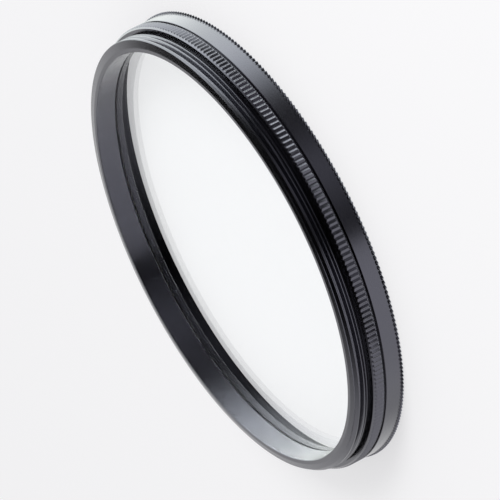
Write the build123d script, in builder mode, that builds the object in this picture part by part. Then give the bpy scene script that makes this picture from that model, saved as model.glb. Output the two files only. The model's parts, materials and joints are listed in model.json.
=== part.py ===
"""Ultraviolet lens filter: a turned mount ring, a clear disc and the threaded ring that retains it.

Millimetres. Z is the optical axis and points to the lens: the front rim lies on Z = 0 and the male
thread is on top. The origin is on the axis, in the plane of the front rim. Both threads are drawn
as plain walls, the male one at its crests and the female one at its crests.
"""
import os
from math import cos, pi, sin

from build123d import *

# The filter thread, 58 mm by 0.75 mm, which the lens and the accessories in front share
thread_major_radius = 29.0
thread_pitch = 0.75
male_depth_share = 0.6134
female_depth_share = 0.5413

# Radial sizes of the mount ring
rim_wall = 0.76
serration_proud = 0.22
ridge_step = 0.02
groove_depth = 0.35
rib_depth = 0.18
neck_relief = 0.15
sleeve_wall = 1.19
lip_flat_width = 0.55

# Lengths along the axis, stacked from the front rim to the rear lip
serration_length = 0.3
band_length = 2.08
groove_width = 0.24
collar_length = 1.51
neck_length = 0.53
sleeve_length = 1.49
lip_rise = 0.25
seat_backing = 0.48

# Edge breaks
lead_chamfer = 0.2
band_edge = 0.05
collar_chamfer = 0.17
lip_edge = 0.06

# Grip patterns: fine teeth on the front rim, ribs on the collar
serration_count = 288
rib_count = 270

# The disc
glass_thickness = 1.2
glass_entry_clearance = 0.14
glass_pocket_clearance = 0.05

# The retaining ring
ring_height = 0.8
ring_width = 0.75
ring_recess = 0.05
ring_bore_step = 0.3
ring_thread_clearance = 0.04
notch_width = 1.2
notch_depth = 0.4
thread_overrun = 0.15

# How far a cutting shape reaches past the material that it cuts
cutter_margin = 0.5

# How deep the ridges are rooted in the metal under them
ridge_rooting = 0.1

# Radii that follow from the thread
male_minor_radius = thread_major_radius - male_depth_share * thread_pitch
female_minor_radius = thread_major_radius - female_depth_share * thread_pitch
band_radius = thread_major_radius + rim_wall
serration_radius = band_radius + serration_proud
groove_radius = band_radius - groove_depth
rib_root_radius = band_radius - rib_depth
collar_core_radius = rib_root_radius - ridge_step
neck_radius = male_minor_radius - neck_relief
bore_radius = male_minor_radius - sleeve_wall
ring_bore_radius = female_minor_radius - ring_bore_step
glass_radius = ring_bore_radius - glass_entry_clearance
pocket_radius = glass_radius + glass_pocket_clearance
ring_outer_radius = ring_bore_radius - ring_thread_clearance
ring_inner_radius = ring_outer_radius - ring_width

# Heights above the front rim
band_end = serration_length + band_length
collar_front = band_end + groove_width
collar_rear = collar_front + collar_length
ribs_end = collar_rear - collar_chamfer
sleeve_front = collar_rear + neck_length
sleeve_rear = sleeve_front + sleeve_length
lip_height = sleeve_rear + lip_rise
seat_height = collar_rear - seat_backing
glass_front = seat_height - glass_thickness
ring_front = glass_front - ring_height
pocket_front = glass_front + thread_overrun
ring_bore_front = ring_front - ring_recess


def ridge_outline(tip_radius, root_radius, count):
    """Corners of a ring of V ridges: one tip and one root for each ridge, evenly spaced."""
    half_step = pi / count
    return [
        (radius * cos(turn * half_step), radius * sin(turn * half_step))
        for turn, radius in enumerate([tip_radius, root_radius] * count)
    ]


def ridged_hoop(tip_radius, root_radius, count, start, length):
    """A hoop with V ridges outside: its inside reaches a little into the metal that carries it."""
    with BuildPart() as hoop:
        with BuildSketch(Plane.XY.offset(start)):
            with BuildLine():
                Polyline(*ridge_outline(tip_radius, root_radius, count), close=True)
            make_face()
            Circle(root_radius - ridge_step - ridge_rooting, mode=Mode.SUBTRACT)
        extrude(amount=length)
    return hoop.part


# The section of the mount ring: up the outside from the front rim, then down the inside
band_and_groove = [
    (band_radius, 0),
    (band_radius, band_end - band_edge),
    (band_radius - band_edge, band_end),
    (groove_radius, band_end),
    (groove_radius, collar_front),
]
collar = [
    (collar_core_radius, collar_front),
    (collar_core_radius, ribs_end),
    (collar_core_radius - collar_chamfer, collar_rear),
    (neck_radius, collar_rear),
]
thread_sleeve = [
    (neck_radius, sleeve_front),
    (thread_major_radius, sleeve_front),
    (thread_major_radius, sleeve_rear),
    (bore_radius + lip_flat_width, lip_height),
    (bore_radius + lip_edge, lip_height),
    (bore_radius, lip_height - lip_edge),
]
inside = [
    (bore_radius, seat_height),
    (pocket_radius, seat_height),
    (pocket_radius, pocket_front),
    (ring_bore_radius, pocket_front),
    (ring_bore_radius, ring_bore_front),
    (female_minor_radius, ring_bore_front),
    (female_minor_radius, lead_chamfer),
    (female_minor_radius + lead_chamfer, 0),
]

serration = ridged_hoop(serration_radius, band_radius + ridge_step, serration_count, 0, serration_length)
ribs = ridged_hoop(band_radius, rib_root_radius, rib_count, collar_front, ribs_end - collar_front)

with BuildPart() as mount_ring:
    with BuildSketch(Plane.XZ):
        with BuildLine():
            Polyline(*band_and_groove, *collar, *thread_sleeve, *inside, close=True)
        make_face()
    revolve(axis=Axis.Z)
    add(serration)
    add(ribs)
mount_ring.part.label = "mount_ring"

with BuildPart() as uv_glass:
    with BuildSketch(Plane.XY.offset(glass_front)):
        Circle(glass_radius)
    extrude(amount=glass_thickness)
uv_glass.part.label = "uv_glass"

with BuildPart() as retaining_ring:
    with BuildSketch(Plane.XY.offset(ring_front)):
        Circle(ring_outer_radius)
        Circle(ring_inner_radius, mode=Mode.SUBTRACT)
    extrude(amount=ring_height)
    with BuildSketch(Plane.XY.offset(ring_front)):
        with PolarLocations(ring_outer_radius - ring_width / 2, 2):
            Rectangle(ring_width + cutter_margin, notch_width)
    extrude(amount=notch_depth, mode=Mode.SUBTRACT)
retaining_ring.part.label = "retaining_ring"

os.makedirs("parts", exist_ok=True)
for piece in (mount_ring, uv_glass, retaining_ring):
    export_step(piece.part, f"parts/{piece.part.label}.step")
    print(piece.part.label, "volume", round(piece.part.volume, 1), "mm3, faces", len(piece.part.faces()))
print("outside diameter", 2 * serration_radius, "mm, height", round(lip_height, 3), "mm")
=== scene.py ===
# %% [markdown]
# An ultraviolet lens filter is a thin black ring that screws to the front of a lens, with a clear
# disc in it. The solids come from the frame, true to size. This lesson gives them the fine forms
# and the finish that the eye reads: helical threads, crisp ribs and teeth, the satin of black
# anodising and the clarity of coated glass. It starts by loading the frame, which nothing here
# moves or resizes.

# %% Load the frame
import json
from math import cos, pi, radians, sin, tan

import bpy
import numpy as np
from mathutils import Matrix, Vector


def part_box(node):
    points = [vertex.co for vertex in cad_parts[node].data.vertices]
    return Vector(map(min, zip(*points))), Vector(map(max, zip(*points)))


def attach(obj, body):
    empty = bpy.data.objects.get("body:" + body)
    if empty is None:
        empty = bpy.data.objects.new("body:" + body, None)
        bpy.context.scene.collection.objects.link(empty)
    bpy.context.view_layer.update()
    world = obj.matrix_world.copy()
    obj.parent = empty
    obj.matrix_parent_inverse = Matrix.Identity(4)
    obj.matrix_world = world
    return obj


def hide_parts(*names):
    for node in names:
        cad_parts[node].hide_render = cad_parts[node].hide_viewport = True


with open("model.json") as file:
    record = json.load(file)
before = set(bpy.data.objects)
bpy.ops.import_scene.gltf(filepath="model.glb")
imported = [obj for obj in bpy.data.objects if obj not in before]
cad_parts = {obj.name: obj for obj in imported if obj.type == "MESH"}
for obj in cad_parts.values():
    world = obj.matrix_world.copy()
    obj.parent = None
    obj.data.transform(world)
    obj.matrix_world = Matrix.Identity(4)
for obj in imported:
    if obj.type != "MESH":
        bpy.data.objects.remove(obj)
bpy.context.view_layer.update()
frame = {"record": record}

scene = bpy.context.scene

# %% [markdown]
# A turned part is a section swept round an axis, so its sizes are radii and heights. The overall
# ones are read from the frame and its mounts. The others are the steps of the section, in
# millimetres, and each is written once. The front rim lies on height zero, and the lens is above.

# %% Sizes of the turned section
mm = 0.001
mounts = {mount["name"]: mount for mount in frame["record"]["mounts"]}
ring_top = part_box("mount_ring")[1] / mm
glass_low, glass_top = (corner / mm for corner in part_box("uv_glass"))
retainer_low, retainer_top = (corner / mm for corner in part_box("retaining_ring"))

serration_radius = ring_top.x
lip_height = ring_top.z
male_crest_radius = mounts["male_thread"]["dims"]["r_mm"]
male_length = mounts["male_thread"]["dims"]["length_mm"]
male_middle = mounts["male_thread"]["pos_m"][2] / mm
female_crest_radius = mounts["female_thread"]["dims"]["r_mm"]
thread_pitch = 0.75

serration_length, serration_depth, serration_proud, serration_count = 0.3, 0.24, 0.22, 288
band_radius = serration_radius - serration_proud
band_end = 2.38
groove_depth = 0.35
groove_radius = band_radius - groove_depth
collar_front, collar_rear = 2.62, 4.13
rib_count = 270
neck_radius = 28.39
sleeve_front = male_middle - male_length / 2
sleeve_rear = male_middle + male_length / 2
bore_radius = 27.35
lip_flat_width = 0.55
seat_height = glass_top.z
pocket_clearance, thread_overrun, ring_clearance, ring_recess = 0.05, 0.15, 0.04, 0.05
pocket_radius = glass_top.x + pocket_clearance
pocket_front = glass_low.z + thread_overrun
ring_bore_radius = retainer_top.x + ring_clearance
ring_bore_front = retainer_low.z - ring_recess
lead_chamfer = 0.2
print("outside", 2 * serration_radius, "mm, thread", 2 * male_crest_radius, "mm, height", lip_height, "mm")

# %% [markdown]
# Every piece here is round, so one way of making a skin serves them all. A zone is a band of the
# skin: rows follow the section and columns go round. Smooth walls need few columns and ribs need
# many, so each zone has its own, and two neighbours are sewn together by a strip of triangles. A
# modifier such as Screw would be shorter, but it gives every row the same columns, and it can't
# change a radius with the angle, as ribs and threads need.

# %% Points and faces of a zone


def plain_zone(profile, columns=360):
    """A turned wall: the same (radius, height) outline at every angle."""
    turns = np.linspace(0, 1, columns + 1)
    radii, heights = np.array(profile, float).T[..., None] * np.ones(columns + 1)
    return turns, radii, heights


def ring_points(turns, radii, heights):
    """Points of a zone: x = radius cos angle, y = radius sin angle, z = height. The last column
    repeats the first."""
    cosines, sines = np.cos(2 * pi * turns), np.sin(2 * pi * turns)
    cosines[-1], sines[-1] = cosines[0], sines[0]
    return np.stack([radii * cosines, radii * sines, heights], axis=-1)


def zone_quads(rows, columns):
    """Corner numbers of a grid's quads, each as here, next column, next column and row, next row."""
    numbers = np.arange(rows * columns).reshape(rows, columns)
    corners = [numbers[:-1, :-1], numbers[:-1, 1:], numbers[1:, 1:], numbers[1:, :-1]]
    return np.stack(corners, axis=-1).reshape(-1, 4)


print("a turned wall of three rows and four columns has", len(zone_quads(3, 5)), "quads")

# %% [markdown]
# Two zones seldom have the same columns, so the strip between them is sewn, as a tailor eases one
# edge on to another. After that, points that share a place are made one. That closes the seam where
# the last column meets the first, and the places where rows run together.

# %% Sewing and welding
weld_grid = 0.00001 * mm


def sew(lower_turns, upper_turns):
    """Triangles between two loops. It walks round both at once and always steps along the loop
    whose next point comes first, so any two counts of columns fit each other."""
    lower_count = len(lower_turns) - 1
    order = np.argsort(np.concatenate([lower_turns[1:], upper_turns[1:]]), kind="stable")
    on_lower = order < lower_count
    lower = np.cumsum(on_lower) - on_lower
    upper = np.cumsum(~on_lower) - ~on_lower
    third = np.where(on_lower, lower + 1, 0)
    return on_lower, lower, upper, third


def weld(points, quads, triangles):
    """Merges points that share a place on a very fine grid. A quad with one side gone becomes a
    triangle, and with two gone it is dropped."""
    places = np.round(points / weld_grid).astype(np.int64)
    _, first, number = np.unique(places, axis=0, return_index=True, return_inverse=True)
    number = number.reshape(-1)
    quads, triangles = number[quads], number[triangles]
    same = quads == np.roll(quads, -1, axis=1)
    pinched = same.sum(axis=1) == 1
    thirds = quads[pinched][~same[pinched]].reshape(-1, 3)
    return points[first], quads[~same.any(axis=1)], np.concatenate([triangles, thirds])


print("three columns sewn to five give", len(sew(np.linspace(0, 1, 4), np.linspace(0, 1, 6))[0]), "triangles")

# %% [markdown]
# A skin is all zones of a piece, sewn one to the next and, on a ring, the last to the first. Faces
# are smooth, and edges over 20 degrees stay sharp, as the corners of turned metal are.

# %% Skin
sharp_edge = radians(20)


def skin(name, zones, closed=True):
    """One closed mesh from zones in the order of the section: up the outside and down the inside."""
    points, quads, triangles, starts = [], [], [], []
    total = 0
    for turns, radii, heights in zones:
        starts.append(total)
        points.append(ring_points(turns, radii, heights).reshape(-1, 3) * mm)
        quads.append(zone_quads(*radii.shape) + total)
        total += radii.size
    followers = [*range(1, len(zones)), 0] if closed else range(1, len(zones))
    for here, there in enumerate(followers):
        lower_first = starts[here] + zones[here][1].size - len(zones[here][0])
        upper_first = starts[there]
        on_lower, lower, upper, third = sew(zones[here][0], zones[there][0])
        middle = np.where(on_lower, lower_first + third, upper_first + upper + 1)
        triangles.append(np.stack([lower_first + lower, middle, upper_first + upper], axis=-1))
    triangles = np.concatenate(triangles) if triangles else np.empty((0, 3), int)
    points, quads, triangles = weld(np.concatenate(points), np.concatenate(quads), triangles)
    mesh = bpy.data.meshes.new(name)
    mesh.from_pydata(points, [], quads.tolist() + triangles.tolist())
    mesh.validate()
    mesh.shade_smooth()
    mesh.set_sharp_from_angle(angle=sharp_edge)
    piece = bpy.data.objects.new(name, mesh)
    scene.collection.objects.link(piece)
    print(name, len(points), "points,", 2 * len(quads) + len(triangles), "triangles")
    return piece


# %% [markdown]
# The front rim has fine pointed teeth, which give fingertips a hold. On the real ring a knurling
# wheel rolls them in. Here they are columns at the flanks of each tooth, with the radius going
# from tip to root and back. Two columns at each tip and root leave the small flats that catch the
# light.

# %% Teeth of the front rim


def pitch_turns(marks, count):
    """The marks, shares of one pitch, repeated round the circle: turn = (number + mark) / count."""
    turns = (np.arange(count)[:, None] + marks).ravel() / count
    return np.append(turns, turns[0] + 1)


def from_middle(turns, count):
    """How far each column is from the middle of its ridge: 0 there and 0.5 half way to the next."""
    return np.abs((turns * count + 0.5) % 1 - 0.5)


tooth_flat = 0.06
tooth_break = 0.03
tooth_foot = 0.2
face_margin = 0.5
face_inner_radius = female_crest_radius + face_margin
rim_turns = pitch_turns([-tooth_flat, tooth_flat, 0.5 - tooth_flat, 0.5 + tooth_flat], serration_count)
tooth_fall = np.interp(from_middle(rim_turns, serration_count), [tooth_flat, 0.5 - tooth_flat], [0, 1])
tooth_radius = serration_radius - serration_depth * tooth_fall
rim_rows = [
    (np.full_like(rim_turns, face_inner_radius), 0),
    (tooth_radius - tooth_break, 0),
    (tooth_radius, tooth_break),
    (tooth_radius, serration_length - tooth_break),
    (tooth_radius * tooth_foot + band_radius * (1 - tooth_foot), serration_length),
    (np.full_like(rim_turns, band_radius), serration_length + tooth_break),
]
rim_zone = (
    rim_turns,
    np.array([radius for radius, _ in rim_rows]),
    np.array([height for _, height in rim_rows])[:, None] * np.ones_like(rim_turns),
)
print("teeth", serration_count, "columns", len(rim_turns) - 1)

# %% [markdown]
# Behind the teeth comes a smooth band, then a thin groove that reads as a dark line. The band ends
# in a small edge break: one narrow facet, as a turning tool leaves it. Real edges always have one,
# and its thin bright line is what makes the metal look solid.

# %% Band and groove
edge_break = 0.05
groove_corner = 0.03
sewing_room = 0.09
band_start = serration_length + sewing_room
band_zone = plain_zone([
    (band_radius, band_start),
    (band_radius, band_end - edge_break),
    (band_radius - edge_break, band_end),
    (groove_radius + groove_corner, band_end),
    (groove_radius, band_end + groove_corner),
    (groove_radius, collar_front - groove_corner),
    (groove_radius + groove_corner, collar_front),
])
groove_width = collar_front - band_end
print("band", round(band_end - band_start, 3), "mm long, groove", round(groove_width, 3), "mm wide")

# %% [markdown]
# The collar has straight ribs, as a knurling wheel presses them: narrow crests, flanks that fall
# away at 33 degrees, and a rounded floor between them. Both ends of the collar are chamfered, and a
# valley is shallower than the rear chamfer, so each valley runs out in an arch there. That meeting
# needs no cutting: the radius is simply the smallest of the ribbed wall, the front chamfer and the
# rear chamfer.

# %% Ribs of the collar
rib_pitch = 2 * pi * band_radius / rib_count
crest_half, crest_round, valley_round, valley_half = 0.006, 0.018, 0.045, 0.05
rib_flank, rib_turn_in = tan(radians(33)), tan(radians(18))
flank_width = rib_pitch / 2 - crest_half - crest_round - valley_round - valley_half
rib_steps = np.cumsum([crest_half, crest_round, flank_width, valley_round])
rib_falls = np.cumsum([
    0, crest_round * rib_turn_in, flank_width * rib_flank, valley_round * rib_turn_in])
rib_marks = rib_steps / rib_pitch
rib_turns = pitch_turns([*-rib_marks[::-1], *rib_marks], rib_count)
rib_fall = np.interp(from_middle(rib_turns, rib_count), rib_marks, rib_falls)
front_chamfer, rear_chamfer = 0.14, 0.3
front_rows, rear_rows = 5, 9
collar_heights = np.concatenate([
    np.linspace(collar_front, collar_front + front_chamfer, front_rows),
    np.linspace(collar_rear - rear_chamfer, collar_rear, rear_rows),
])[:, None]
front_limit = band_radius - front_chamfer + (collar_heights - collar_front)
rear_limit = band_radius - rear_chamfer + (collar_rear - collar_heights)
rib_radii = np.minimum(band_radius - rib_fall, np.minimum(front_limit, rear_limit))
collar_inner = np.full((1, len(rib_turns)), groove_radius + 2 * groove_corner)
collar_zone = (
    rib_turns,
    np.concatenate([collar_inner, rib_radii]),
    np.concatenate([collar_heights[:1], collar_heights]) * np.ones_like(rib_turns),
)
print("ribs", rib_count, "pitch", round(rib_pitch, 3), "mm, depth", round(rib_falls[-1], 3), "mm")

# %% [markdown]
# Both threads are true helices of 0.75 mm pitch. A row that follows the helix keeps each crest
# sharp, but the thread also stops at flat shoulders and chamfers, whose edges run level. So each
# column holds both kinds of height, the ones that climb with the angle and the ones that don't,
# held between the ends and sorted. Rows that meet at an end are welded, and after one turn the
# climbing rows fall in with their neighbours one pitch further up, which closes the seam.

# %% Heights of a threaded wall
flank_slope = 1 / tan(radians(30))
height_snap = 0.0005
turns_tried = 20


def threaded_heights(marks, first_crest, level, columns=360):
    """Heights of each column, lowest first: first crest + pitch (number + turn) + mark, held between
    the outer level heights, and the level heights themselves."""
    turns = np.linspace(0, 1, columns + 1)
    low, high = min(level), max(level)
    numbers = np.arange(-turns_tried, turns_tried)
    crests = (first_crest + thread_pitch * numbers[:, None] + marks).reshape(-1, 1)
    climbing = crests + thread_pitch * turns
    near = (climbing.max(axis=1) > low) & (climbing.min(axis=1) < high)
    rows = [np.clip(climbing[near], low, high), np.array(level)[:, None] * np.ones_like(turns)]
    return turns, np.round(np.sort(np.concatenate(rows), axis=0) / height_snap) * height_snap


def thread_depth(turns, heights, first_crest, crest_half, depth):
    """Depth under the crests: the distance from the nearest crest, less half its flat, times the
    slope of a flank at 30 degrees, and no more than the full depth."""
    share = (heights - first_crest) / thread_pitch - turns
    distance = np.abs((share + 0.5) % 1 - 0.5) * thread_pitch
    return np.clip((distance - crest_half) * flank_slope, 0, depth)


def thread_marks(crest_half, depth, steps):
    """Heights beside a crest where the outline bends, with a few steps down each flank."""
    flank = np.linspace(crest_half, crest_half + depth / flank_slope, steps)
    return np.concatenate([-flank[::-1], flank])


print("a flank falls", round(flank_slope, 3), "mm for each mm along the axis")

# %% [markdown]
# The male thread screws into the lens. It begins behind an undercut, at a shoulder that the
# turning tool left at full size, so the first turn runs out there. At the free end it breaks into
# the cone of the lip. Each of these is again the smallest of a few radii.

# %% Undercut and male thread
male_first_crest = 5.3375
male_crest_half, male_depth = 0.045, 0.46
shoulder_flat = 0.06
cone_slope = (male_crest_radius - bore_radius - lip_flat_width) / (lip_height - sleeve_rear)
neck_corner = 0.05
lip_rows = 13
neck_zone = plain_zone([
    (band_radius - rear_chamfer - edge_break, collar_rear),
    (neck_radius + neck_corner, collar_rear),
    (neck_radius, collar_rear + neck_corner),
    (neck_radius, sleeve_front - neck_corner),
    (neck_radius + neck_corner, sleeve_front),
    (male_crest_radius - edge_break, sleeve_front),
])
male_level = [sleeve_front, sleeve_front + shoulder_flat, *np.linspace(sleeve_rear, lip_height, lip_rows)]
male_turns, male_heights = threaded_heights(
    thread_marks(male_crest_half, male_depth, steps=4), male_first_crest, male_level)
helix_depth = thread_depth(male_turns, male_heights, male_first_crest, male_crest_half, male_depth)
runout_depth = np.clip((male_heights - sleeve_front - shoulder_flat) * flank_slope, 0, None)
cone_depth = np.clip((male_heights - sleeve_rear) * cone_slope, 0, None)
male_radii = male_crest_radius - np.maximum(np.minimum(helix_depth, runout_depth), cone_depth)
male_zone = (male_turns, male_radii, male_heights)
print("male thread rows", len(male_heights), "radius", male_radii.min(), "to", male_radii.max(), "mm")

# %% [markdown]
# Inside, a plain bore leads down to the ledge that the disc rests on, and a pocket just wider than
# the disc. Below it comes the bore of the retaining ring, and then the female thread, which takes a
# lens cap or a second filter.

# %% Lip, bore, seat and female thread
female_first_crest = 0.4
female_crest_half, female_depth = 0.05, 0.406
lip_break = 0.06
inside_zone = plain_zone([
    (bore_radius + lip_flat_width - edge_break, lip_height),
    (bore_radius + lip_break, lip_height),
    (bore_radius, lip_height - lip_break),
    (bore_radius, seat_height + edge_break),
    (bore_radius + edge_break, seat_height),
    (pocket_radius - edge_break, seat_height),
    (pocket_radius, seat_height - edge_break),
    (pocket_radius, pocket_front),
    (ring_bore_radius, pocket_front),
    (ring_bore_radius, ring_bore_front + edge_break),
    (ring_bore_radius + edge_break, ring_bore_front),
])
female_level = [0, 0.5 * lead_chamfer, lead_chamfer, ring_bore_front]
female_turns, female_heights = threaded_heights(
    thread_marks(female_crest_half, female_depth, steps=3), female_first_crest, female_level)
female_heights = female_heights[::-1]
helix_depth = thread_depth(female_turns, female_heights, female_first_crest, female_crest_half, female_depth)
runout_depth = (ring_bore_front - female_heights) * flank_slope
lead_depth = np.clip(lead_chamfer - female_heights, 0, None)
female_radii = female_crest_radius + np.maximum(np.minimum(helix_depth, runout_depth), lead_depth)
female_zone = (female_turns, female_radii, female_heights)

mount_ring = skin("turned_mount_ring", [
    rim_zone, band_zone, collar_zone, neck_zone, male_zone, inside_zone, female_zone])
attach(mount_ring, "root")
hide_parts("mount_ring")

# %% [markdown]
# The retaining ring is a narrow threaded hoop that holds the disc from the front. Two notches in
# its front face take a spanner. They are columns whose lowest points are lifted to the floor of
# the notch, with two columns at each side that share an angle, so the sides stand upright.

# %% Retaining ring
retainer_radius = retainer_top.x
retainer_width = 0.75
retainer_inner = retainer_radius - retainer_width
notch_width, notch_depth = 1.2, 0.4
notch_half_turn = notch_width / 2 / (2 * pi * (retainer_radius - retainer_width / 2))
retainer_break = 0.04
notch_room, half_columns = 0.01, 130
hair = 1e-9
side = np.array([-notch_half_turn, notch_half_turn])
notch_sides = np.concatenate([side, side, side + 0.5, side + 0.5])
even_turns = np.linspace(notch_room, 0.5 - notch_room, half_columns)
retainer_turns = np.sort(np.concatenate([even_turns, even_turns + 0.5, notch_sides]))
retainer_turns = np.append(retainer_turns, retainer_turns[0] + 1)
notch_floor = retainer_low.z + notch_depth
_, retainer_radii, retainer_heights = plain_zone([
    (retainer_radius - retainer_break, retainer_low.z),
    (retainer_radius, retainer_low.z + retainer_break),
    (retainer_radius, notch_floor),
    (retainer_radius, retainer_top.z - retainer_break),
    (retainer_radius - retainer_break, retainer_top.z),
    (retainer_inner + retainer_break, retainer_top.z),
    (retainer_inner, retainer_top.z - retainer_break),
    (retainer_inner, notch_floor),
    (retainer_inner, retainer_low.z + retainer_break),
    (retainer_inner + retainer_break, retainer_low.z),
], len(retainer_turns) - 1)
turn_in_half = (retainer_turns + 0.25) % 0.5 - 0.25
same_angle = np.diff(retainer_turns) < hair
first_of_pair, second_of_pair = np.append(same_angle, False), np.append(False, same_angle)
outside_notch = first_of_pair & (turn_in_half < 0) | second_of_pair & (turn_in_half > 0)
in_notch = (np.abs(turn_in_half) < notch_half_turn + hair) & ~outside_notch
retainer_heights = np.where(in_notch, np.maximum(retainer_heights, notch_floor), retainer_heights)
retaining_ring = skin("threaded_retaining_ring", [(retainer_turns, retainer_radii, retainer_heights)])
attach(retaining_ring, "root")
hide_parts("retaining_ring")

# %% [markdown]
# The disc is plane glass with a ground bevel. It stops a hair short of the ledge and the retaining
# ring, because two faces at one height would flicker in a render.

# %% Disc
face_gap = 0.01
glass_bevel = 0.15
disc = skin("coated_disc", [plain_zone([
    (0, glass_low.z + face_gap),
    (glass_top.x - glass_bevel, glass_low.z + face_gap),
    (glass_top.x, glass_low.z + glass_bevel),
    (glass_top.x, glass_top.z - glass_bevel),
    (glass_top.x - glass_bevel, glass_top.z - face_gap),
    (0, glass_top.z - face_gap),
])], closed=False)
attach(disc, "root")
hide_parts("uv_glass")

# %% [markdown]
# A material is a tree of nodes. Two small helpers keep the trees short to write: one adds a node
# and sets its properties, and the other adds a Math node on sockets or plain numbers.

# %% Node helpers


def node(tree, kind, **settings):
    """Adds a node of that kind and sets its own properties."""
    made = tree.nodes.new(kind)
    for key, value in settings.items():
        setattr(made, key, value)
    return made


def calculate(tree, operation, *values):
    """A Math node on sockets or plain numbers."""
    made = node(tree, "ShaderNodeMath", operation=operation)
    for socket, value in zip(made.inputs, values):
        if isinstance(value, bpy.types.NodeSocket):
            tree.links.new(value, socket)
        else:
            socket.default_value = value
    return made.outputs[0]


# %% [markdown]
# Black anodising is a hard film of oxide on aluminium, with black dye in its pores. Nearly all
# that is seen of it is its gloss. Two things break that gloss: the fine rings that the turning tool
# left, and the grain of the etched metal. Both come from one node group: together they make the
# height of a Bump node, and the grain alone is the mask for roughness and shade. The rings read the
# radius and the height of each point, so they run round the axis on walls and on faces alike. The
# group also gives that radius in millimetres, which the glass uses for its ground rim.

# %% Turned finish


def turned_finish_group():
    """Rings round the axis and grain: the radius, the square root of x squared plus y squared, and
    the height of a point feed one noise, and its place feeds the other."""
    tree = bpy.data.node_groups.new("turned_finish", "ShaderNodeTree")
    for name, default in (("Ring Scale", 8.0), ("Grain Scale", 6.0)):
        socket = tree.interface.new_socket(name, in_out="INPUT", socket_type="NodeSocketFloat")
        socket.default_value = default
    for name in ("Rings", "Grain", "Radius"):
        tree.interface.new_socket(name, in_out="OUTPUT", socket_type="NodeSocketFloat")
    entry, leave = node(tree, "NodeGroupInput"), node(tree, "NodeGroupOutput")
    place = node(tree, "ShaderNodeTexCoord").outputs["Object"]
    in_mm = node(tree, "ShaderNodeVectorMath", operation="SCALE")
    in_mm.inputs["Scale"].default_value = 1 / mm
    tree.links.new(place, in_mm.inputs[0])
    split = node(tree, "ShaderNodeSeparateXYZ")
    tree.links.new(in_mm.outputs[0], split.inputs[0])
    square = calculate(tree, "ADD", calculate(tree, "POWER", split.outputs[0], 2.0),
                       calculate(tree, "POWER", split.outputs[1], 2.0))
    section = node(tree, "ShaderNodeCombineXYZ")
    radius = calculate(tree, "SQRT", square)
    tree.links.new(radius, section.inputs[0])
    tree.links.new(split.outputs[2], section.inputs[1])
    rings = node(tree, "ShaderNodeTexNoise", noise_dimensions="2D")
    tree.links.new(section.outputs[0], rings.inputs["Vector"])
    tree.links.new(entry.outputs["Ring Scale"], rings.inputs["Scale"])
    grain = node(tree, "ShaderNodeTexNoise", noise_dimensions="3D")
    tree.links.new(in_mm.outputs[0], grain.inputs["Vector"])
    tree.links.new(entry.outputs["Grain Scale"], grain.inputs["Scale"])
    tree.links.new(rings.outputs[0], leave.inputs["Rings"])
    tree.links.new(grain.outputs[0], leave.inputs["Grain"])
    tree.links.new(radius, leave.inputs["Radius"])
    return tree


turned_finish = turned_finish_group()
print("node group", turned_finish.name, "with", len(turned_finish.nodes), "nodes")

# %% [markdown]
# The metal pieces share the film but not its gloss, so a function makes the material from an index
# of refraction, a level of gloss, a base roughness and the share of the rings in the bump. The
# Principled shader stands in the material itself, with plain numbers on the sockets that are the
# same all over.

# %% Black anodising
grain_low, grain_high = 0.3, 0.7
roughness_spread = 0.03


def black_anodise(name, index, level, roughness, ring_bump):
    """Anodised metal: a near-black body, the film's gloss from its index of refraction and level,
    grain in the shade and the roughness, and rings and grain in the bump."""
    material = bpy.data.materials.new(name)
    material.use_nodes = True
    tree = material.node_tree
    shader = tree.nodes["Principled BSDF"]
    shader.inputs["IOR"].default_value = index
    shader.inputs["Specular IOR Level"].default_value = level
    shader.inputs["Specular Tint"].default_value = (0.82, 0.82, 1.0, 1)
    finish = node(tree, "ShaderNodeGroup", node_tree=turned_finish)
    finish.inputs["Ring Scale"].default_value = 9.0
    finish.inputs["Grain Scale"].default_value = 7.0
    shade = node(tree, "ShaderNodeValToRGB")
    dark_stop, light_stop = shade.color_ramp.elements
    dark_stop.position, light_stop.position = grain_low, grain_high
    dark_stop.color = (0.0006, 0.0005, 0.0006, 1)
    light_stop.color = (0.0016, 0.0014, 0.0017, 1)
    tree.links.new(finish.outputs["Grain"], shade.inputs[0])
    tree.links.new(shade.outputs[0], shader.inputs["Base Color"])
    spread = node(tree, "ShaderNodeMapRange")
    tree.links.new(finish.outputs["Grain"], spread.inputs["Value"])
    spread.inputs["From Min"].default_value = grain_low
    spread.inputs["From Max"].default_value = grain_high
    spread.inputs["To Min"].default_value = roughness - roughness_spread
    spread.inputs["To Max"].default_value = roughness + roughness_spread
    tree.links.new(spread.outputs[0], shader.inputs["Roughness"])
    height = calculate(tree, "MULTIPLY_ADD", finish.outputs["Rings"], ring_bump, finish.outputs["Grain"])
    bump = node(tree, "ShaderNodeBump")
    bump.inputs["Strength"].default_value = 0.12
    bump.inputs["Distance"].default_value = 0.01 * mm
    tree.links.new(height, bump.inputs["Height"])
    tree.links.new(bump.outputs[0], shader.inputs["Normal"])
    return material


satin_black = black_anodise("satin black anodise", index=1.77, level=0.5, roughness=0.22, ring_bump=2.0)
turned_black = black_anodise("turned black anodise", index=1.5, level=0.5, roughness=0.26, ring_bump=3.0)
# The matt copy differs from the satin one only in its gloss. It is painted shade for the faces behind the
# glass.
matt_shaded_black = black_anodise("matt black anodise with painted shade", index=1.77, level=0.03, roughness=0.22, ring_bump=2.0)

# %% [markdown]
# On a real filter the inside is kept dull from the ledge down, so that no stray light reaches the
# lens: the seat, the pocket, the female thread, and the face of the retaining ring that holds the
# disc. These faces get the matt film. It is the same film with almost no gloss, and it is also
# painted shade, so that the recess under the ledge and behind the glass reads dark. They are found
# by the middle of each face, so no node has to tell them apart, and the shader keeps plain numbers.

# %% Matt faces behind the glass, with painted shade
matt_shade_radius = 29.2
matt_shade_margin = 0.01


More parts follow.
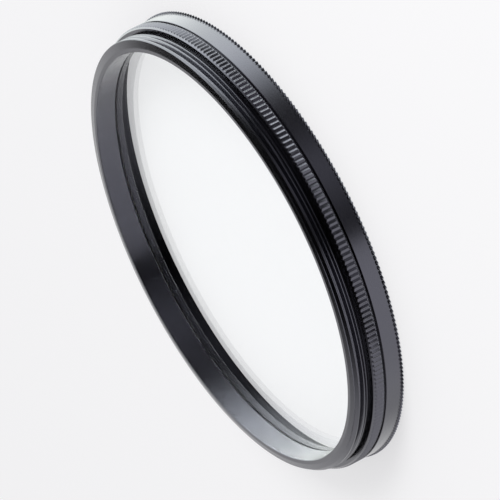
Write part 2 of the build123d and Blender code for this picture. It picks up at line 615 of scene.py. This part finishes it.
def finishes_with_painted_shade(piece, shown, dull_shaded, lowest, highest):
    """The second finish, a painted shade, goes on faces whose middle is within the matt radius, the
    square root of x squared plus y squared, and between two heights. All other faces get the finish that
    shows."""
    mesh = piece.data
    middles = np.empty(3 * len(mesh.polygons), np.float32)
    mesh.polygons.foreach_get("center", middles)
    across, along, heights = middles.reshape(-1, 3).T / mm
    is_dull_shaded = (np.hypot(across, along) < matt_shade_radius) & (heights > lowest) & (heights < highest)
    mesh.materials.append(shown)
    mesh.materials.append(dull_shaded)
    mesh.polygons.foreach_set("material_index", is_dull_shaded.astype(np.int32))
    print(piece.name, is_dull_shaded.sum(), "of", len(is_dull_shaded), "faces are matt")


finishes_with_painted_shade(mount_ring, satin_black, matt_shaded_black, -matt_shade_margin, seat_height + matt_shade_margin)
finishes_with_painted_shade(retaining_ring, turned_black, matt_shaded_black, retainer_top.z - matt_shade_margin, lip_height)

# %% [markdown]
# The disc is clear optical glass. Its faces are polished, and its rim is ground, so the roughness
# grows with the distance from the axis, but only where the ledge and the retaining ring hide it. The
# rest is plain glass: all transmission, an index of 1.52 and almost no tint. The coating takes most
# of the reflection away, so the specular level is low. A ray towards a lamp, or one that leaves a
# diffuse surface, passes straight through, because the glass would otherwise darken the floor.

# %% Coated glass


def coated_glass(name):
    """Clear glass: roughness is 0 on the polished faces and rises to 0.5 across the bevel."""
    material = bpy.data.materials.new(name)
    material.use_nodes = True
    tree = material.node_tree
    shader = tree.nodes["Principled BSDF"]
    shader.inputs["Base Color"].default_value = (0.985, 0.995, 1.0, 1)
    shader.inputs["IOR"].default_value = 1.52
    shader.inputs["Transmission Weight"].default_value = 1.0
    shader.inputs["Specular IOR Level"].default_value = 0.08
    finish = node(tree, "ShaderNodeGroup", node_tree=turned_finish)
    ground = node(tree, "ShaderNodeMapRange")
    tree.links.new(finish.outputs["Radius"], ground.inputs["Value"])
    ground.inputs["From Min"].default_value = glass_top.x - glass_bevel
    ground.inputs["From Max"].default_value = glass_top.x
    ground.inputs["To Max"].default_value = 0.5
    tree.links.new(ground.outputs[0], shader.inputs["Roughness"])
    path = node(tree, "ShaderNodeLightPath")
    unseen = calculate(tree, "MAXIMUM", path.outputs["Is Shadow Ray"], path.outputs["Is Diffuse Ray"])
    lets_through, choice = node(tree, "ShaderNodeBsdfTransparent"), node(tree, "ShaderNodeMixShader")
    lets_through.inputs["Color"].default_value = (0.97, 0.98, 0.98, 1)
    tree.links.new(unseen, choice.inputs[0])
    tree.links.new(shader.outputs[0], choice.inputs[1])
    tree.links.new(lets_through.outputs[0], choice.inputs[2])
    tree.links.new(choice.outputs[0], tree.nodes["Material Output"].inputs[0])
    return material


disc.data.materials.append(coated_glass("coated glass"))
print("materials", [material.name for material in bpy.data.materials])

# %% [markdown]
# The camera looks down on the lying ring at the photograph's angle, and is turned about its own
# axis, so that the ring stands in the frame as it does there. These directions come first, because
# the studio is laid out along them as well.

# %% Directions of the view
elevation, roll = radians(21.83), radians(116.87)
level_right = Vector((1, 0, 0))
level_up = Vector((0, sin(elevation), cos(elevation)))
forward = Vector((0, cos(elevation), -sin(elevation)))
right = level_right * cos(roll) - level_up * sin(roll)
up = level_up * cos(roll) + level_right * sin(roll)
print("right", list(right), "up", list(up), "forward", list(forward))

# %% [markdown]
# A black gloss shows nothing but the room, so the room is what is designed here. Light that the
# object mirrors sees a studio in three parts. Below the horizon lies a white table. Above it, a
# bright screen arches from behind the object to over the camera, and the camera's own side is dark,
# with one grey wall. Each part is a few cards: how far forward, or how high, a direction points, and
# how bright it is there. The table has two soft edges. Each is how much of forward is added to
# right, where the dark ends and where the light is full: it is dark far to the left, and dark behind
# the camera on that side.

# %% Studio cards
table_cards = [(-1.0, 1.7), (-0.4, 1.7), (0.0, 1.5), (0.3, 1.4), (0.57, 0.95), (0.8, 1.15), (1.0, 1.0)]
screen_cards = [
    (-0.36, 0.0), (-0.29, 0.6), (-0.15, 2.3), (0.0, 3.7), (0.2, 4.5),
    (0.6, 3.6), (0.8, 2.6), (0.95, 1.7), (1.0, 1.0),
]
room_cards = [
    (0.0, 0.1), (0.17, 0.12), (0.31, 0.35), (0.5, 0.62), (0.6, 0.6), (0.7, 0.38), (0.81, 0.12), (1.0, 0.08),
]
table_edges = [(0.0, -0.78, -0.68), (1.0, -0.8, 0.15)]
table_tint, screen_tint, room_tint = (1.0, 1.0, 1.0), (0.95, 1.0, 0.96), (0.95, 0.95, 1.0)
brightest = 5.0
print("cards of the table, screen and room:", len(table_cards), len(screen_cards), len(room_cards))

# %% [markdown]
# Each part is one Color Ramp on a direction's dot product with an axis of the view, so the studio
# needs no picture and no lamps of its own.

# %% Ramps over directions


def card_ramp(tree, cards, tint, value):
    """A Color Ramp from -1 to 1 whose stops are the cards: brightness as a share of the brightest,
    times the tint. A new ramp has two stops, which the first two cards take."""
    ramp = node(tree, "ShaderNodeValToRGB")
    elements = ramp.color_ramp.elements
    for number, (place, brightness) in enumerate(cards):
        position = (place + 1) / 2
        stop = elements[number] if number < 2 else elements.new(position)
        stop.position = position
        stop.color = (*[brightness / brightest * share for share in tint], 1)
    tree.links.new(calculate(tree, "MULTIPLY_ADD", value, 0.5, 0.5), ramp.inputs[0])
    return ramp.outputs[0]


def points_along(tree, direction, axis):
    """How far a direction points along an axis: their dot product, from -1 to 1."""
    made = node(tree, "ShaderNodeVectorMath", operation="DOT_PRODUCT")
    tree.links.new(direction, made.inputs[0])
    made.inputs[1].default_value = axis
    return made.outputs["Value"]


def mixed(tree, kind, factor, first, second):
    """A Mix node on colours: blend type, factor, or None for all of it, and two sockets. Sockets
    6 and 7 and output 2 are the ones for colours."""
    made = node(tree, "ShaderNodeMix", data_type="RGBA", blend_type=kind)
    made.inputs[0].default_value = 1.0
    if factor is not None:
        tree.links.new(factor, made.inputs[0])
    tree.links.new(first, made.inputs[6])
    tree.links.new(second, made.inputs[7])
    return made.outputs[2]


def smooth_rise(tree, value, low, high):
    """0 below low, 1 above high and a smooth step between them."""
    rise = node(tree, "ShaderNodeMapRange", interpolation_type="SMOOTHSTEP")
    tree.links.new(value, rise.inputs["Value"])
    rise.inputs["From Min"].default_value, rise.inputs["From Max"].default_value = low, high
    return rise.outputs[0]


# %% [markdown]
# The world puts the three parts together and shows them only to light that has met a gloss. All
# other light sees one plain soft white, which fills the shadows. The world isn't sampled as a lamp,
# because such samples wouldn't know which of the two they should see.

# %% World
plain_light = 0.6
horizon_half = 0.04


def studio_world():
    """Table, screen and room by direction, shown only to light that has met a gloss."""
    world = bpy.data.worlds.new("studio")
    world.use_nodes = True
    tree = world.node_tree
    direction = node(tree, "ShaderNodeTexCoord").outputs["Generated"]
    away = points_along(tree, direction, forward)
    height = points_along(tree, direction, up)
    table = card_ramp(tree, table_cards, table_tint, away)
    for slant, dark_end, lit_end in table_edges:
        aside = points_along(tree, direction, right + forward * slant)
        edge = smooth_rise(tree, aside, dark_end, lit_end)
        table = mixed(tree, "MULTIPLY", None, table, edge)
    screen = card_ramp(tree, screen_cards, screen_tint, away)
    room = card_ramp(tree, room_cards, room_tint, height)
    horizon = smooth_rise(tree, height, -horizon_half, horizon_half)
    above = mixed(tree, "ADD", None, screen, room)
    mirrored = node(tree, "ShaderNodeBackground")
    mirrored.inputs["Strength"].default_value = brightest
    tree.links.new(mixed(tree, "MIX", horizon, table, above), mirrored.inputs["Color"])
    plain = tree.nodes["Background"]
    plain.inputs["Color"].default_value = (0.98, 0.985, 1.0, 1)
    plain.inputs["Strength"].default_value = plain_light
    choice = node(tree, "ShaderNodeMixShader")
    path = node(tree, "ShaderNodeLightPath")
    met_gloss = calculate(tree, "GREATER_THAN", path.outputs["Glossy Depth"], 0.5)
    tree.links.new(met_gloss, choice.inputs[0])
    tree.links.new(plain.outputs[0], choice.inputs[1])
    tree.links.new(mirrored.outputs[0], choice.inputs[2])
    tree.links.new(choice.outputs[0], tree.nodes["World Output"].inputs[0])
    world.cycles.sampling_method = "NONE"
    return world


scene.world = studio_world()
print("world", scene.world.name, "with", len(scene.world.node_tree.nodes), "nodes")

# %% [markdown]
# The floor is a plain pale sheet. To the camera, and through the glass, it is mostly white of its
# own, with a share of real diffuse colour that keeps the object's soft shadow. For mirrored light
# it steps aside, so the metal shows the studio's cards.

# %% Floor
floor_half = 3.0
floor_drop = 0.02 * mm
floor_white = (0.955, 0.95, 0.96, 1)
shadow_share = 0.4


def pale_floor():
    """Emission and diffuse in fixed shares, and transparent once the light has met a gloss."""
    material = bpy.data.materials.new("pale floor")
    material.use_nodes = True
    tree = material.node_tree
    tree.nodes.remove(tree.nodes["Principled BSDF"])
    path = node(tree, "ShaderNodeLightPath")
    glow, matte = node(tree, "ShaderNodeEmission"), node(tree, "ShaderNodeBsdfDiffuse")
    glow.inputs["Color"].default_value = floor_white
    matte.inputs["Color"].default_value = floor_white
    seen = calculate(tree, "MAXIMUM", path.outputs["Is Camera Ray"], path.outputs["Is Transmission Ray"])
    share = calculate(tree, "MULTIPLY", seen, 1 - shadow_share)
    look, steps_aside = node(tree, "ShaderNodeMixShader"), node(tree, "ShaderNodeMixShader")
    tree.links.new(share, look.inputs[0])
    tree.links.new(matte.outputs[0], look.inputs[1])
    tree.links.new(glow.outputs[0], look.inputs[2])
    tree.links.new(calculate(tree, "GREATER_THAN", path.outputs["Glossy Depth"], 0.5), steps_aside.inputs[0])
    tree.links.new(look.outputs[0], steps_aside.inputs[1])
    tree.links.new(node(tree, "ShaderNodeBsdfTransparent").outputs[0], steps_aside.inputs[2])
    tree.links.new(steps_aside.outputs[0], tree.nodes["Material Output"].inputs[0])
    return material


floor_mesh = bpy.data.meshes.new("floor")
floor_corners = np.array([(-1, -1, 0), (1, -1, 0), (1, 1, 0), (-1, 1, 0)]) * floor_half - (0, 0, floor_drop)
floor_mesh.from_pydata(floor_corners, [], [(0, 1, 2, 3)])
floor = bpy.data.objects.new("floor", floor_mesh)
scene.collection.objects.link(floor)
floor_mesh.materials.append(pale_floor())
print("floor", 2 * floor_half, "m wide,", floor_drop / mm, "mm under the rim")

# %% [markdown]
# One wide lamp stands low on the near side and throws the soft shadow behind the ring. It is kept
# out of the mirrored light, whose cards are the world's, and out of the light inside the glass.

# %% Lamp
lamp_azimuth, lamp_elevation = radians(42), radians(32)
lamp_distance, lamp_side, lamp_power = 0.7, 0.28, 3.0
toward_lamp = Vector((
    sin(lamp_azimuth) * cos(lamp_elevation),
    -cos(lamp_azimuth) * cos(lamp_elevation),
    sin(lamp_elevation),
))
lamp_data = bpy.data.lights.new("soft lamp", "AREA")
lamp_data.size, lamp_data.energy = lamp_side, lamp_power
lamp = bpy.data.objects.new("soft_lamp", lamp_data)
scene.collection.objects.link(lamp)
lamp.location = toward_lamp * lamp_distance
lamp.rotation_euler = toward_lamp.to_track_quat("Z", "Y").to_euler()
lamp.visible_glossy = False
lamp.visible_transmission = False
print("lamp", lamp_side, "m wide at", list(lamp.location))

# %% [markdown]
# The camera stands far away with a long lens, so the near and far sides of the ring look almost
# equally wide.

# %% Camera
distance = 0.7917
centre_right, centre_up = 0.00161, 0.00176
focal_in_pixels, frame_pixels = 6484, 500
place = -(right * centre_right + up * centre_up + forward * distance)
camera_data = bpy.data.cameras.new("camera")
camera_data.sensor_width = 36
camera_data.lens = camera_data.sensor_width * focal_in_pixels / frame_pixels
camera = bpy.data.objects.new("camera", camera_data)
scene.collection.objects.link(camera)
camera.matrix_world = Matrix((
    (right.x, up.x, -forward.x, place.x),
    (right.y, up.y, -forward.y, place.y),
    (right.z, up.z, -forward.z, place.z),
    (0, 0, 0, 1),
))
scene.camera = camera
scene.view_settings.view_transform = "Standard"
print("camera", list(place), "lens", camera_data.lens)
